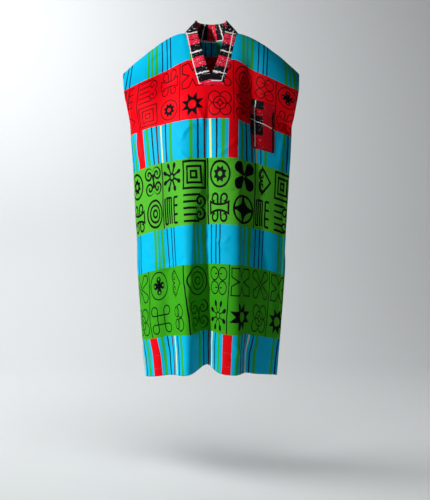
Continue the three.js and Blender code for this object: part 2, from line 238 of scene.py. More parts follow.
class Panel:
    # the cloth of one panel as it hangs, in mm; face is -1 in front and 1 at the back
    def __init__(self, rows, folds, creases, face, seed):
        self.rows = named(rows, rowNames)
        self.folds = named(folds, foldNames)
        self.creases = creases
        self.face = face
        self.paths = {}
        self.noise = np.random.default_rng(seed).normal(size=(64, 96))

    def path(self, cut):
        cut = round(float(cut), 3)
        if cut not in self.paths:
            row = {name: through(self.rows, cut, name) for name in rowNames}
            share = np.sin(np.linspace(-1, 1, pathSteps + 1) * math.pi / 2)
            x = row["wide"] * share
            depth, lift = np.zeros_like(x), np.zeros_like(x)
            for fold in self.folds:
                grown = min(max((cut - fold["start"]) / (fold["full"] - fold["start"]), 0), 1)
                faded = 1 if fold["end"] == stays else 1 - ease(fold["full"], fold["end"], cut)
                centre = fold["xFrom"] + (fold["xTo"] - fold["xFrom"]) * grown
                off = (x - centre) / np.where(x < centre, fold["left"], fold["right"])
                shape = np.exp(-0.5 * off * off) * faded
                depth += fold["depth"] * shape * grown
                lift += fold["lift"] * shape * grown ** cloth["liftPower"]
            size = np.abs(share)
            bulge = np.maximum(1 - size ** cloth["sideSquare"], 0) ** row["round"]
            free = np.minimum(1, cloth["foldReach"] * np.sqrt(1 - size))
            y = row["yEdge"] + (row["yMid"] - row["yEdge"]) * bulge - depth * free
            out = np.maximum(size - row["level"], 0) / (1 - row["level"])
            z = row["zMid"] + (row["zEdge"] - row["zMid"]) * out ** row["curve"] + lift
            points = np.stack([x, self.face * np.maximum(y, 0), z], 1)
            steps = np.linalg.norm(np.diff(points, axis=0), axis=1)
            arc = np.concatenate([[0], np.cumsum(steps)])
            self.paths[cut] = points, arc - arc[pathSteps // 2]
        return self.paths[cut]

    def reach(self, cut, side):
        arc = self.path(cut)[1]
        return -arc[0] if side < 0 else arc[-1]

    def place(self, across, cut):
        across, cut = np.broadcast_arrays(np.asarray(across, float), np.asarray(cut, float))
        shape = across.shape
        across, cut = across.ravel(), np.clip(np.round(cut.ravel(), 3), 0, cloth["length"])
        found = np.empty((len(across), 3))
        values, where = np.unique(cut, return_inverse=True)
        order = np.argsort(where, kind="stable")
        ends = np.searchsorted(where[order], np.arange(len(values) + 1))
        for k, value in enumerate(values):
            chosen = order[ends[k] : ends[k + 1]]
            points, arc = self.path(value)
            for axis in range(3):
                found[chosen, axis] = np.interp(across[chosen], arc, points[:, axis])
        return found.reshape(shape + (3,))

    def ripple(self, across, cut):
        # creases and the slight unevenness of worn cloth, in mm along the normal
        depth = np.zeros(np.shape(across))
        for crease in self.creases:
            depth += creaseHeight(across, cut, **crease)
        for cell, height in cloth["uneven"]:
            depth += self.uneven(across, cut, cell, height)
        return depth

    def uneven(self, across, cut, cell, height):
        u, v = np.asarray(across, float) / cell + 30.5, np.asarray(cut, float) / cell + 4.5
        i, j = np.floor(u).astype(int), np.floor(v).astype(int)
        fu, fv = ease(0, 1, u - i), ease(0, 1, v - j)
        wide, tall = self.noise.shape
        left, right, top, bottom = i % wide, (i + 1) % wide, j % tall, (j + 1) % tall
        upper = self.noise[left, top] * (1 - fu) + self.noise[right, top] * fu
        lower = self.noise[left, bottom] * (1 - fu) + self.noise[right, bottom] * fu
        return height * (upper * (1 - fv) + lower * fv)

    def normal(self, across, cut, step=4):
        cut = np.asarray(cut)
        aside = self.place(across + step, cut) - self.place(across - step, cut)
        down = self.place(across, cut + step) - self.place(across, cut - step)
        normal = np.cross(down, aside) * -self.face
        return normal / np.linalg.norm(normal, axis=-1, keepdims=True)

    def onCloth(self, across, cut, off=0.0):
        # a place on the cloth, off by some mm outward
        across, cut = np.broadcast_arrays(np.asarray(across, float), np.asarray(cut, float))
        lift = self.ripple(across, cut) + off
        found = self.place(across, cut) + self.normal(across, cut) * lift[..., None]
        found[..., 1] = self.face * np.maximum(found[..., 1] * self.face, 0)
        return found


front = Panel(frontRows, frontFolds, frontCreases, -1, 11)
back = Panel(backRows, backFolds, backCreases, 1, 23)


def frontNeckline(across):
    share = (cloth["neckHalf"] - np.abs(across)) / (cloth["neckHalf"] - cloth["neckFloorHalf"])
    return cloth["neckDrop"] * np.clip(share, 0, 1)


def backNeckline(across):
    share = np.minimum(np.abs(across) / cloth["neckHalf"], 1)
    return cloth["backNeckDrop"] * np.sqrt(1 - share * share)


def meshOf(name, points, uv, faces, material):
    mesh = bpy.data.meshes.new(name)
    mesh.from_pydata((np.asarray(points) * mm).tolist(), [], faces)
    layer = mesh.uv_layers.new(name="fabric")
    loops = np.empty(len(mesh.loops), int)
    mesh.loops.foreach_get("vertex_index", loops)
    layer.data.foreach_set("uv", (np.asarray(uv) * mm)[loops].ravel().astype(np.float32))
    mesh.polygons.foreach_set("use_smooth", [True] * len(mesh.polygons))
    mesh.materials.append(material)
    mesh.update()
    piece = bpy.data.objects.new(name, mesh)
    bpy.context.scene.collection.objects.link(piece)
    return piece


def gridFaces(rows, columns, turned=False):
    corner = np.arange(rows * columns).reshape(rows, columns)
    quads = np.stack([corner[:-1, :-1], corner[1:, :-1], corner[1:, 1:], corner[:-1, 1:]], -1)
    quads = quads.reshape(-1, 4)
    return (quads[:, ::-1] if turned else quads).tolist()


def thicken(piece, wall):
    shell = piece.modifiers.new("wall", "SOLIDIFY")
    shell.thickness = wall * mm
    shell.offset = -1
    shell.use_rim = True
    return piece


panelGrid = dict(rows=250, sideColumns=56, neckColumns=48, hemRows=10, turnColumns=3)

# How far the print has drifted sideways on the front, by mm down the cloth: pairs of mm
# across and mm of drift.
printDrift = {
    210: [(-258, -9), (-106, 9), (72, 0), (237, 6)],
    500: [
        (-274, -34), (-198, -24), (-167, -14), (-137, -3), (-85, 6), (-64, 10), (-11, 0), (33, -2),
        (81, 1), (94, 5), (123, -6), (146, -12), (172, -13), (202, -3), (278, 8),
    ],
    600: [
        (-267, -36), (-197, -25), (-175, -9), (-141, 2), (-66, 12), (-11, 0), (33, -2), (82, 0),
        (95, 4), (126, -10), (149, -15), (176, -17), (208, -6), (285, 2),
    ],
    838: [
        (-252, -18), (-213, -12), (-148, 8), (-111, 14), (-60, 5), (41, -10), (78, -5), (100, -2),
        (126, -11), (158, -25), (175, -25), (218, -18), (252, -9), (298, -13),
    ],
    945: [
        (-264, -6), (-219, -6), (-134, -2), (-110, 11), (-51, -3), (44, -12), (73, -1), (103, -6),
        (140, -24), (174, -34), (194, -31), (220, -21), (248, -8), (295, -10),
    ],
    1060: [(-250, -17), (-113, 12), (-51, -2), (44, -8), (78, -5), (160, -10), (230, 0)],
}


def drifted(across, cut):
    levels = list(printDrift)
    rows = np.array([np.interp(across, *zip(*printDrift[level])) for level in levels])
    place = np.interp(cut, levels, range(len(levels)))
    above = np.minimum(place.astype(int), len(levels) - 2)
    upper = np.take_along_axis(rows, above[None], 0)[0]
    lower = np.take_along_axis(rows, above[None] + 1, 0)[0]
    return across + upper + (lower - upper) * (place - above)


def panelPiece(name, panel, neckline, material):
    # rows of the mesh run from one side turning over the panel to the other
    g = panelGrid
    neckHalf = cloth["neckHalf"]
    levels = np.linspace(0, cloth["length"], g["rows"] + 1)
    neck = np.linspace(-neckHalf, neckHalf, g["neckColumns"] + 1)
    sides = np.linspace(0, 1, g["sideColumns"] + 1)[1:]
    turn = np.linspace(0, cloth["turning"], g["turnColumns"] + 1)[1:]
    inside = -np.array([cloth["turningIn"]] * len(turn) + [cloth["turningFoldIn"]])
    acrossRows, cutRows, offRows, sRows, tRows = [], [], [], [], []

    def addRow(level, lower, off):
        left, right = panel.reach(level, -1), panel.reach(level, 1)
        cutNeck = np.full(neck.shape, level)
        if level < cloth["neckWarp"]:
            top = neckline(neck)
            cutNeck = top + (cloth["neckWarp"] - top) * level / cloth["neckWarp"]
        leftSide = -(left - neckHalf) * sides[::-1] - neckHalf
        middle = [leftSide, neck, (right - neckHalf) * sides + neckHalf]
        across = np.concatenate([-left + turn[::-1], [-left], *middle, [right], right - turn])
        cuts = np.concatenate([np.full(len(sides), level), cutNeck, np.full(len(sides), level)])
        edge = np.full(len(turn) + 1, level)
        offs = np.concatenate([inside, np.zeros(len(cuts)), inside[::-1]])
        acrossRows.append(across)
        cutRows.append(np.concatenate([edge, cuts, edge]))
        offRows.append(offs + off)
        past = np.concatenate([turn[::-1], [0.5]])
        onPanel = across[len(edge) : -len(edge)]
        sRows.append(np.concatenate([-left - past, onPanel, right + past[::-1]]))
        tRows.append(cutRows[-1] + lower)

    for level in levels:
        addRow(level, 0, 0)
    addRow(cloth["length"], 1, -cloth["hemFoldIn"])
    for up in np.linspace(1, cloth["hem"], g["hemRows"]):
        addRow(cloth["length"] - up, 2 * up, -cloth["hemIn"])
    across, cut, off = np.array(acrossRows), np.array(cutRows), np.array(offRows)
    points = panel.onCloth(across, cut, off)
    rows, columns = across.shape
    s, t = np.array(sRows), np.array(tRows)
    if panel.face < 0:
        s = drifted(s, t)
    uv = np.stack([s * -panel.face, t], -1)
    faces = gridFaces(rows, columns, panel.face > 0)
    piece = meshOf(name, points.reshape(-1, 3), uv.reshape(-1, 2), faces, material)
    return thicken(piece, cloth["wall"])


def plain(name, colour):
    material = bpy.data.materials.new(name)
    material.use_nodes = True
    shader = material.node_tree.nodes["Principled BSDF"]
    shader.inputs["Base Color"].default_value = (*colour, 1)
    shader.inputs["Roughness"].default_value = 0.7
    return material


class Value:
    # a number that a material works out at each place, written as ordinary sums
    def __init__(self, tree, source):
        self.tree = tree
        self.source = source

    def of(self, operation, *others, clamp=False):
        node = self.tree.nodes.new("ShaderNodeMath")
        node.operation = operation
        node.use_clamp = clamp
        for k, item in enumerate((self, *others)):
            if isinstance(item, Value):
                self.tree.links.new(item.source, node.inputs[k])
            else:
                node.inputs[k].default_value = item
        return Value(self.tree, node.outputs[0])

    def __add__(self, other):
        return self.of("ADD", other)

    def __sub__(self, other):
        return self.of("SUBTRACT", other)

    def __rsub__(self, other):
        return self.of("MULTIPLY_ADD", -1, other)

    def __mul__(self, other):
        return self.of("MULTIPLY", other)

    def __truediv__(self, other):
        return self.of("DIVIDE", other)

    def __abs__(self):
        return self.of("ABSOLUTE")

    def __neg__(self):
        return self.of("MULTIPLY", -1)

    __radd__ = __add__
    __rmul__ = __mul__

    def least(self, *others):
        found = self
        for other in others:
            found = found.of("MINIMUM", other)
        return found

    def most(self, *others):
        found = self
        for other in others:
            found = found.of("MAXIMUM", other)
        return found

    def rest(self):
        return self.of("FRACT")

    def above(self, limit):
        return self.of("GREATER_THAN", limit)

    def below(self, limit):
        return self.of("LESS_THAN", limit)


def length(x, y):
    return (x * x + y * y).of("SQRT")


def outline(distance, pen):
    return abs(distance) - pen


def nested(distance, sizes, pen):
    first, *others = (outline(distance - size, pen) for size in sizes)
    return first.least(*others)


# Signs of the print, each from circles, bars and stars. p holds the place in the cell
# (u to the right, v down, both 1 at the edge of a sign), its mirrored forms and the pen.
def star(p, tip, dent):
    # eight straight-sided points; tip and dent are radii
    x, y = dent * math.cos(math.pi / 8), dent * math.sin(math.pi / 8)
    side = math.hypot(tip - x, y)
    return (p.alongSpoke - tip) * (y / side) + p.fromSpoke * ((tip - x) / side)


def spiral(across, down, reach, pitch):
    # a scroll about a point, wound so that it opens upward
    far = length(across, down)
    turn = down.of("ARCTAN2", across) * (0.5 / math.pi)
    ring = abs((far / pitch + turn + 4.25).rest() - 0.5) * pitch
    return ring, far - reach


def starRing(p):
    return outline(p.radius - 0.86, p.pen).least(star(p, 0.62, 0.42).most(0.18 - p.radius))


def solidStar(p):
    return star(p, 0.98, 0.52).most(0.33 - p.radius)


def eightDrops(p):
    spoke = (p.fromSpoke - p.pen).most(p.alongSpoke - 0.9, 0.24 - p.alongSpoke)
    drop = length((p.alongSpoke - 0.84) * 0.7, p.fromSpoke) - 0.15
    return outline(p.radius - 0.22, p.pen).least(spoke, drop)


def nestedSquares(p):
    return nested(p.side, (0.92, 0.56, 0.22), p.pen)


def clover(p):
    along = ((p.a + p.b) * 0.5).least(0.54)
    lobe = length(p.a - along, p.b - along) - 0.08 - along * 0.62
    return lobe.most(0.07 - p.radius)


def pick(p):
    wedge = (p.u * 0.698 + p.b * 0.716 - 0.5).most(-0.2 - p.u)
    lobe = length(p.u + 0.2, p.b - 0.4) - 0.38
    mark, inside = spiral(p.u + 0.2, p.b - 0.38, 0.3, 0.3)
    return outline(wedge.least(lobe), p.pen).least((mark - p.pen).most(inside))


def barsComb(p):
    posts = nested(p.u, (-0.86, -0.6, -0.34, -0.08, 0.24), p.pen).most(p.b - 0.9)
    feet = outline(p.v - 0.88, p.pen).most(abs(p.u + 0.73) - 0.13)
    heads = outline(p.v + 0.88, p.pen).most(abs(p.u + 0.4) - 0.32)
    teeth = outline(p.b - 0.88, p.pen).least(outline(p.b - 0.3, p.pen)).most(abs(p.u - 0.45) - 0.22)
    return posts.least(feet, heads, teeth)


def fiveBars(p):
    bars = nested(p.b, (0, 0.44, 0.88), p.pen).most(abs(p.u + 0.4) - 0.52)
    bars = bars.least(outline(p.b - 0.9, p.pen).most(abs(p.u - 0.1) - 0.32))
    scroll, inside = spiral(p.u - 0.44, p.b - 0.44, 0.5, 0.34)
    return bars.least((scroll - p.pen).most(inside, 0.05 - p.u))


def hornsBar(p):
    beam = outline((p.a - 0.84).most(p.b - 0.2 - p.a * p.a * 0.28), p.pen)
    horn = outline(length(p.a - 0.42, p.b - 0.66) - 0.27, p.pen)
    horn = horn.most(-(p.b - 0.4 - (p.a - 0.42) * -0.8))
    stem = outline(p.a - 0.14, p.pen).most(abs(p.b - 0.48) - 0.22)
    return beam.least(horn, stem)


def nestedCircles(p):
    return nested(p.radius, (0.92, 0.58, 0.24), p.pen)


def diamondRing(p):
    curved = (0.8 - length(p.a - 0.9, p.b - 0.9)).most(p.side - 0.88)
    return outline(p.radius - 0.92, p.pen).least(curved)


def fourHorns(p):
    scroll, inside = spiral(p.a - 0.46, 0.48 - p.b, 0.5, 0.33)
    stem = outline(p.a - p.b * 0.2, p.pen).most(p.b - 0.5)
    return (scroll - p.pen).most(inside).least(stem)


def notchedSquare(p):
    notch = ((p.a - 0.3) * 0.55 - p.b) * 0.88
    other = ((p.b - 0.3) * 0.55 - p.a) * 0.88
    return outline((p.side - 0.88).most(notch, other), p.pen)


def bow(p):
    along = ((p.a + p.b) * 0.5).least(0.62)
    lobe = length(p.a - along, p.b - along) - 0.06 - along * 0.38
    return outline(lobe, p.pen)


def fourRings(p):
    ring = outline(length(p.a - 0.44, p.b - 0.46) - 0.42, p.pen)
    tick = outline(p.b - 0.46, p.pen).most(abs(p.a - 0.24) - 0.12)
    return ring.least(tick)


def crossRing(p):
    long, short = p.a.most(p.b), p.a.least(p.b)
    flower = (length(long - 0.38, short) - 0.24).least(p.radius - 0.26)
    flower = flower.most(0.09 - length(long - 0.46, short))
    return outline(p.radius - 0.92, p.pen).least(flower)


def linkedRings(p):
    ring = outline(length(p.a - 0.44, p.b - 0.44) - 0.46, p.pen)
    return ring.least(outline(p.radius - 0.5, p.pen))


def loops(p):
    large = outline(length(p.u - 0.2, p.b - 0.44) - 0.42, p.pen)
    small = outline(length(p.u + 0.3, p.b - 0.4) - 0.32, p.pen)
    return large.least(small)


def knot(p):
    bars = outline(p.a - 0.3, p.pen).most(p.b - 0.6).least(outline(p.b - 0.3, p.pen).most(p.a - 0.6))
    corner = outline(length(p.a - 0.6, p.b - 0.6) - 0.3, p.pen).most(0.6 - p.side)
    return bars.least(corner)


signs = [
    starRing, solidStar, eightDrops, nestedSquares, clover, pick, barsComb, fiveBars,
    hornsBar, nestedCircles, diamondRing, fourHorns, notchedSquare, bow, fourRings,
    crossRing, linkedRings, loops, knot,
]
signSteps = 32  # a sign's number is kept in a ramp as a share of this

# The print repeats every four cells across, and a cell holds two signs side by side in
# each row. A band has two rows of eight, listed from the first cell line on the left.
cell = dict(wide=170, tall=106.5, signWide=38.5, signTall=47)  # a sign's sizes are half ones
printBands = [
    dict(
        top=105, bottom=318, start=-437.3, pen=1.5, line=1.4, colour=(0.82, 0.0012, 0.0080),
        rows=[
            [
                crossRing, barsComb, fiveBars, hornsBar, notchedSquare, bow, nestedCircles,
                fourRings,
            ],
            [
                hornsBar, pick, nestedSquares, starRing, solidStar, linkedRings, fourHorns,
                eightDrops,
            ],
        ],
    ),
    dict(
        top=445, bottom=658, start=-351, pen=3.1, line=2.2, colour=(0.078, 0.43, 0.024),
        rows=[
            [starRing, fourHorns, eightDrops, nestedSquares, starRing, clover, pick, nestedSquares],
            [
                hornsBar, nestedCircles, barsComb, fiveBars, hornsBar, diamondRing, barsComb,
                fiveBars,
            ],
        ],
    ),
    dict(
        top=785, bottom=998, start=-437.3, pen=1.6, line=1.6, colour=(0.042, 0.35, 0.010),
        rows=[
            [notchedSquare, bow, crossRing, pick, nestedCircles, fourRings, notchedSquare, bow],
            [solidStar, linkedRings, knot, loops, fourHorns, eightDrops, solidStar, linkedRings],
        ],
    ),
]
turquoise = (0.001, 0.46, 0.74)
leaf = (0.035, 0.40, 0.035)
navy = (0.002, 0.02, 0.12)
black = (0.004, 0.006, 0.012)
cream = (0.86, 0.80, 0.30)
brown = (0.10, 0.025, 0.012)
scarlet = (0.74, 0.0010, 0.0055)
ink = (0.002, 0.0025, 0.004)

# Stripes between the bands of signs: where each starts and ends, in mm. Half of the wide
# repeat is listed, from the middle of the red stripe, and the other half mirrors it.
halfRepeat = [
    (0, 15.7, scarlet), (27.8, 39.8, leaf), (51.3, 56.5, black), (70.6, 77.8, cream),
    (90, 94.7, brown), (107.8, 113, navy), (125.5, 138, leaf),
]
swapped = {cream: brown, brown: cream}
firstHalf = [(start, end, swapped.get(colour, colour)) for start, end, colour in halfRepeat]
otherHalf = [(340 - end, 340 - start, colour) for start, end, colour in reversed(halfRepeat)]
wideStripes = dict(start=72.7, period=340, table=firstHalf + otherHalf)
narrowStripes = dict(
    start=72.7, period=170,
    table=[
        (31.9, 42.4, leaf), (48.6, 57, leaf), (65.4, 77.9, leaf),
        (94.4, 99.1, navy), (115.3, 120, navy), (130, 134.7, navy),
    ],
)
wideBands = [(318, 445), (998, 1300)]  # mm down the cloth; the narrow stripes are elsewhere


def stepRamp(tree, place, steps):
    # a ramp that changes colour at each step, from its place to the next one
    ramp = tree.nodes.new("ShaderNodeValToRGB")
    ramp.color_ramp.interpolation = "CONSTANT"
    elements = ramp.color_ramp.elements
    while len(elements) < len(steps):
        elements.new(0.5)
    for k, (start, colour) in enumerate(steps):
        elements[k].position = start
        elements[k].color = (*colour, 1)
    tree.links.new(place.source, ramp.inputs[0])
    return ramp.outputs[0]


def stripes(tree, across, kind):
    period = kind["period"]
    steps = []
    at = 0
    for start, end, colour in kind["table"]:
        if start > at:
            steps.append((at / period, turquoise))
        steps.append((start / period, colour))
        at = end
    if at < period:
        steps.append((at / period, turquoise))
    return stepRamp(tree, ((across - kind["start"]) / period).rest(), steps)


def chartRow(tree, place, row):
    # the number of the sign at each place along a row, as a share of signSteps
    shares = [(signs.index(sign) + 1) / signSteps for sign in row]
    steps = [(k / len(row), (share, share, share)) for k, share in enumerate(shares)]
    return Value(tree, stepRamp(tree, place, steps))


def mixColour(tree, share, first, second, blend="MIX"):
    mix = tree.nodes.new("ShaderNodeMix")
    mix.data_type = "RGBA"
    mix.blend_type = blend
    for socket, item in ((mix.inputs[0], share), (mix.inputs[6], first), (mix.inputs[7], second)):
        if isinstance(item, Value):
            tree.links.new(item.source, socket)
        elif isinstance(item, bpy.types.NodeSocket):
            tree.links.new(item, socket)
        else:
            socket.default_value = (*item, 1) if isinstance(item, tuple) else item
    return mix.outputs[2]


def noiseAt(tree, vector, scale, detail=3.0, rough=0.55):
    noise = tree.nodes.new("ShaderNodeTexNoise")
    noise.inputs["Scale"].default_value = scale
    noise.inputs["Detail"].default_value = detail
    noise.inputs["Roughness"].default_value = rough
    tree.links.new(vector, noise.inputs["Vector"])
    return Value(tree, noise.outputs["Fac"])


def stretched(tree, vector, scale):
    mapping = tree.nodes.new("ShaderNodeMapping")
    mapping.inputs["Scale"].default_value = scale
    tree.links.new(vector, mapping.inputs["Vector"])
    return mapping.outputs[0]


def clothBase(name, sheen):
    material = bpy.data.materials.new(name)
    material.use_nodes = True
    tree = material.node_tree
    shader = tree.nodes["Principled BSDF"]
    shader.inputs["Sheen Weight"].default_value = sheen
    shader.inputs["Sheen Roughness"].default_value = 0.45
    shader.inputs["Specular IOR Level"].default_value = 0.05
    fabric = tree.nodes.new("ShaderNodeUVMap")
    fabric.uv_map = "fabric"
    split = tree.nodes.new("ShaderNodeSeparateXYZ")
    tree.links.new(fabric.outputs[0], split.inputs[0])
    across = Value(tree, split.outputs[0]) * 1000
    down = Value(tree, split.outputs[1]) * 1000
    return material, tree, shader, fabric.outputs[0], across, down


weave = dict(pitch=0.62, height=0.05, crinkle=0.35, strength=0.5, rough=(0.46, 0.16))


def weaveBump(tree, shader, fabric, across, down):
    # crossing threads, and the faint crinkle of starched cotton
    warp = (across * (2 * math.pi / weave["pitch"])).of("SINE")
    weft = (down * (2 * math.pi / weave["pitch"])).of("SINE")
    threads = warp * weft
    crinkle = noiseAt(tree, fabric, 70, 4, 0.6)
    height = threads * weave["height"] + crinkle * weave["crinkle"]
    bump = tree.nodes.new("ShaderNodeBump")
    bump.inputs["Strength"].default_value = weave["strength"]
    bump.inputs["Distance"].default_value = 0.001
    tree.links.new(height.source, bump.inputs["Height"])
    tree.links.new(bump.outputs[0], shader.inputs["Normal"])
    smooth, extra = weave["rough"]
    tree.links.new((crinkle * extra + smooth).source, shader.inputs["Roughness"])


printFinish = dict(
    wobble=2.4,  # mm that a printed edge wanders
    edge=40,  # how crisp the signs' edges are
    wornBelow=0.22,
    wornSharp=9,
    dye=(0.9, 0.22),
)


def printedCotton():
    f = printFinish
    material, tree, shader, fabric, across, down = clothBase("printed_cotton", 0.0)
    weaveBump(tree, shader, fabric, across, down)
    across = across + (noiseAt(tree, fabric, 30, 2) - 0.5) * f["wobble"]
    down = down + (noiseAt(tree, fabric, 23, 2) - 0.5) * f["wobble"]
    isWide = sum(down.above(top) * down.below(bottom) for top, bottom in wideBands)
    narrow = stripes(tree, across, narrowStripes)
    wide = stripes(tree, across, wideStripes)
    colour = mixColour(tree, isWide, narrow, wide)

    # which sign is in this cell, and where in the cell this place is
    found = []
    for band in printBands:
        inside = down.above(band["top"]) * down.below(band["bottom"])
        at = ((across - band["start"]) / (4 * cell["wide"])).rest()
        low = (down - (band["top"] + band["bottom"]) / 2).above(0)
        upper, lower = (chartRow(tree, at, row) for row in band["rows"])
        chosen = (upper + (lower - upper) * low) * inside
        line = abs(((across - band["start"]) / cell["wide"] + 0.5).rest() - 0.5) * cell["wide"]
        line = line.below(band["line"]) * inside
        column = (at * 8).rest() * inside
        row = ((down - band["top"]) / cell["tall"]).rest() * inside
        found.append((inside, line, chosen, inside * (band["pen"] / cell["signWide"]), column, row))
        colour = mixColour(tree, inside, colour, band["colour"])
    inBand, lines, sign, pen, column, row = (sum(values) for values in zip(*found))
    p = SimpleNamespace()
    p.u = (column - 0.5) * (cell["wide"] / 2 / cell["signWide"])
    p.v = (row - 0.49) * (cell["tall"] / cell["signTall"])
    p.a, p.b = abs(p.u), abs(p.v)
    p.pen = pen
    p.radius = length(p.u, p.v)
    p.side = p.a.most(p.b)
    turn = p.v.of("ARCTAN2", p.u) * (4 / math.pi)
    bend = ((turn + 8).rest() - 0.5) * (math.pi / 4)
    # along and beside the nearest of eight spokes
    p.alongSpoke = p.radius * bend.of("COSINE")
    p.fromSpoke = abs(p.radius * bend.of("SINE"))
    code = sign * signSteps
    distance = sum(code.of("COMPARE", k, 0.5) * draw(p) for k, draw in enumerate(signs, 1))
    marks = (distance * -f["edge"] + 0.5).of("MINIMUM", 1, clamp=True) * inBand
    marks = marks.most(lines)
    worn = (noiseAt(tree, fabric, 260, 2) - f["wornBelow"]) * f["wornSharp"]
    colour = mixColour(tree, marks * worn.of("MINIMUM", 1, clamp=True), colour, ink)

    # dye is a little uneven
    least, more = f["dye"]
    blot = noiseAt(tree, fabric, 9, 5, 0.6) * more + least
    shade = mixColour(tree, 1.0, colour, blot, "MULTIPLY")
    tree.links.new(shade, shader.inputs["Base Color"])
    return material


pink = (0.80, 0.008, 0.050)
deepRed = (0.50, 0.004, 0.014)
white = (0.82, 0.80, 0.78)
soot = (0.008, 0.006, 0.009)

# The neck band is cut from another cotton: blocks across it, mm from the shoulder seam.
bandCotton = dict(
    blocks=[(0, soot), (16, pink), (53, soot), (98, pink), (135, soot), (190, pink)],
    period=230,
    crossLines=[
        (34, 0.9, soot), (117, 0.9, soot), (80, 2.4, white), (159, 2.2, white), (10, 2, white),
    ],
    longLine=(3.4, 2.0, 197),  # from the outer edge, half width, and where it ends
    smears=0.57,
    specks=0.60,
)
pocketCotton = dict(
    blocks=[(0, soot), (34, deepRed), (62, soot), (138, deepRed)],
    ground=deepRed,
    edge=44,
    period=200,
    redStrip=(0, 9, 26, 60),
    crossLines=[(92, 1.6, white), (176, 1.0, soot), (50, 0.8, soot)],
    slant=0.26,
    longLine=(15, 1.8, 180),
    strip=(80, 3.4, 30),
    smears=0.63,
)


def blocks(tree, place, cotton):
    steps = [(start / cotton["period"], colour) for start, colour in cotton["blocks"]]
    return stepRamp(tree, place / cotton["period"], steps)


def smeared(tree, fabric, stretch, scale, limit, sharp=14):
    # patches of a stretched noise above a limit
    noise = noiseAt(tree, stretched(tree, fabric, stretch), scale, 4, 0.65)
    return ((noise - limit) * sharp).of("MINIMUM", 1, clamp=True)


def neckBandCotton():
    b = bandCotton
    material, tree, shader, fabric, across, along = clothBase("band_cotton", 0.03)
    weaveBump(tree, shader, fabric, across, along)
    along = along + (noiseAt(tree, fabric, 95, 3) - 0.5) * 9
    across = across + (noiseAt(tree, fabric, 60, 2) - 0.5) * 2
    colour = blocks(tree, along, b)
    red = Value(tree, tree.nodes.new("ShaderNodeSeparateColor").outputs[0])
    tree.links.new(colour, red.source.node.inputs[0])
    onRed = red.above(0.2)
    smears = smeared(tree, fabric, (1, 3.2, 1), 90, b["smears"]) * onRed
    colour = mixColour(tree, smears * 0.85, colour, white)
    dark = smeared(tree, fabric, (1, 4, 1), 120, 0.62) * onRed
    colour = mixColour(tree, dark * 0.8, colour, soot)
    specks = smeared(tree, fabric, (1, 1.6, 1), 78, b["specks"], 20) * (1 - onRed)
    colour = mixColour(tree, specks, colour, white)
    ragged = noiseAt(tree, fabric, 130, 2) * 2.2 - 0.1
    for place, half, lineColour in b["crossLines"]:
        colour = mixColour(tree, (ragged * half - abs(along - place)).above(0), colour, lineColour)
    place, half, ending = b["longLine"]
    line = abs(across - place).below(half) * along.below(ending)
    colour = mixColour(tree, line, colour, white)
    shade = mixColour(tree, 1.0, colour, noiseAt(tree, fabric, 40, 3) * 0.3 + 0.82, "MULTIPLY")
    tree.links.new(shade, shader.inputs["Base Color"])
    return material


def patchPocketCotton():
    b = pocketCotton
    material, tree, shader, fabric, across, down = clothBase("pocket_cotton", 0.03)
    weaveBump(tree, shader, fabric, across, down)
    across = across + (noiseAt(tree, fabric, 90, 2) - 0.5) * 6
    down = down + (noiseAt(tree, fabric, 80, 3) - 0.5) * 9
    colour = mixColour(tree, across.below(b["edge"]), b["ground"], blocks(tree, down, b))
    left, right, top, bottom = b["redStrip"]
    strip = across.above(left - 9) * across.below(right) * down.above(top) * down.below(bottom)
    colour = mixColour(tree, strip, colour, b["ground"])
    blot = smeared(tree, fabric, (1, 2.4, 1), 70, 0.62, 8)
    colour = mixColour(tree, blot * 0.6, colour, soot)
    most = across.below(b["edge"]) * 0.85 + 0.15
    smears = smeared(tree, fabric, (1.4, 1, 1), 120, b["smears"]) * most
    colour = mixColour(tree, smears, colour, white)
    for place, half, lineColour in b["crossLines"]:
        off = abs(down - across * b["slant"] - place + 8)
        colour = mixColour(tree, off.below(half), colour, lineColour)
    place, half, ending = b["longLine"]
    line = abs(across - place).below(half) * down.below(ending)
    colour = mixColour(tree, line, colour, white)
    place, half, starting = b["strip"]
    line = abs(across - place).below(half) * down.above(starting)
    colour = mixColour(tree, line, colour, soot)
    tree.links.new(colour, shader.inputs["Base Color"])
    return material


printed = printedCotton()
bandCloth = neckBandCotton()
pocketPrint = patchPocketCotton()
print("kaftan: printed cotton")

frontPiece = panelPiece("front_cloth", front, frontNeckline, printed)
backPiece = panelPiece("back_cloth", back, backNeckline, printed)
print("kaftan: front and back panels")

bandInner = [  # share of the way down the V, and the place of the band's inner edge
    (0, 51, 0, 47),
    (0.24, 45, -22, -3),
    (0.5, 32, -42, -61),
    (0.74, 17.5, -58, -110),
    (1, 0, -73, -158),
]
bandTop = [  # share of the way round to the centre back, and the place of the top edge
    (0, 51, 0, 47),
    (0.35, 45, 26, 48),
    (0.7, 26, 46, 49),
    (1, 0, 53, 49),
]
neckBand = dict(
    along=90,  # mesh columns along each band
    wide=14,  # and across it
    wall=1.4,
    puff=0.7,  # the band is a little full between its edges
    clear=0.3,  # mm that its sewn edge stands off the panel
    stitchedAt=(0.05, 0.95),
)


def curveThrough(table, share):
    rows = named(table, ("cut", "x", "y", "z"))
    return np.array([through(rows, share, axis) for axis in "xyz"])


slant = cloth["neckHalf"] - cloth["neckFloorHalf"]
slope = math.hypot(slant, cloth["neckDrop"])


def frontBandEnds(side):
    whole = slope + cloth["neckFloorHalf"]
    shares = np.linspace(0, 1, neckBand["along"] + 1)
    gone = shares * whole
    across = np.where(gone < slope, cloth["neckHalf"] - gone / slope * slant, whole - gone)
    low = front.onCloth(side * across, frontNeckline(across), neckBand["clear"])
    high = np.array([curveThrough(bandInner, share) for share in shares])
    high[:, 0] *= side
    return low, high


